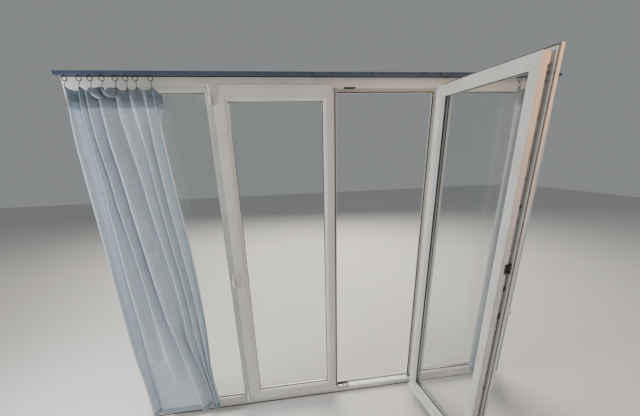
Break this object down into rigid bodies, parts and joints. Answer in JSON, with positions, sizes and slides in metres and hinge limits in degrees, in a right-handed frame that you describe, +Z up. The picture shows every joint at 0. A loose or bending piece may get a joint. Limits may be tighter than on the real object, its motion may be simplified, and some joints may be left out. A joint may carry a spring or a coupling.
{
  "type": "houseboat cabin glazed front",
  "caption": "Glazed cabin front in white plastic: fixed side lights beside a pair of inward opening leaves, with gathered curtains on a track.",
  "frame": {"origin": "middle of the threshold's underside, half way through the frame's depth", "axes": "+X to the right seen from inside the cabin, +Y outboard, +Z up"},
  "size_m": [2.56, 0.7172, 2.072],
  "materials": {
    "white_plastic": "satin",
    "clear_glass": "polished",
    "curtain_cloth": "woven",
    "painted_track": "satin",
    "dark_seal": "matt",
    "keep_steel": "galvanised",
    "lock_bronze": "yellow passivated steel",
    "handle_white": "white coating",
    "hinge_cap": "satin"
  },
  "bodies": {
    "fixed_frame": {"frame_head": "white_plastic", "frame_jamb_left": "white_plastic", "frame_jamb_right": "white_plastic", "frame_sill_left": "white_plastic", "frame_sill_right": "white_plastic", "mullion_left": "white_plastic", "mullion_right": "white_plastic", "threshold": "white_plastic", "side_light_beads_left": "white_plastic", "side_light_glass_left": "clear_glass", "side_light_beads_right": "white_plastic", "side_light_glass_right": "clear_glass", "threshold_keep": "keep_steel", "head_keep_meeting": "keep_steel", "head_keep_hinge_side": "white_plastic", "frame_hinge_bottom_left": "hinge_cap", "frame_hinge_middle_left": "hinge_cap", "frame_hinge_top_left": "hinge_cap", "frame_hinge_bottom_right": "hinge_cap", "frame_hinge_middle_right": "hinge_cap", "frame_hinge_top_right": "hinge_cap", "head_cover_strip": "dark_seal", "curtain_track_left": "painted_track", "curtain_track_right": "painted_track", "curtain_left": "curtain_cloth", "curtain_right": "curtain_cloth"},
    "left_leaf": {"left_leaf_hinge_stile": "white_plastic", "left_leaf_meeting_stile": "white_plastic", "left_leaf_top_rail": "white_plastic", "left_leaf_bottom_rail": "white_plastic", "left_leaf_beads": "white_plastic", "left_leaf_glass": "clear_glass", "left_leaf_overlap_profile": "white_plastic", "left_leaf_edge_lever": "keep_steel", "left_leaf_drip_rail": "white_plastic", "left_leaf_hinge_bottom_left": "hinge_cap", "left_leaf_hinge_middle_left": "hinge_cap", "left_leaf_hinge_top_left": "hinge_cap"},
    "right_leaf": {"right_leaf_lock_stile": "white_plastic", "right_leaf_hinge_stile": "white_plastic", "right_leaf_top_rail": "white_plastic", "right_leaf_bottom_rail": "white_plastic", "right_leaf_beads": "white_plastic", "right_leaf_glass": "clear_glass", "right_leaf_lock_strip": "lock_bronze", "right_leaf_handle_rosette": "handle_white", "right_leaf_handle": "handle_white", "right_leaf_drip_rail": "white_plastic", "right_leaf_hinge_bottom_right": "hinge_cap", "right_leaf_hinge_middle_right": "hinge_cap", "right_leaf_hinge_top_right": "hinge_cap"}
  },
  "joints": [
    {"name": "left_leaf_swing", "type": "hinge", "parent": "fixed_frame", "child": "left_leaf", "pos_m": [-0.62, -0.062, 0.975], "axis": [0, 0, 1], "range_deg": [-90, 0]},
    {"name": "right_leaf_swing", "type": "hinge", "parent": "fixed_frame", "child": "right_leaf", "pos_m": [0.62, -0.062, 0.975], "axis": [0, 0, 1], "range_deg": [-96, 14]}
  ]
}
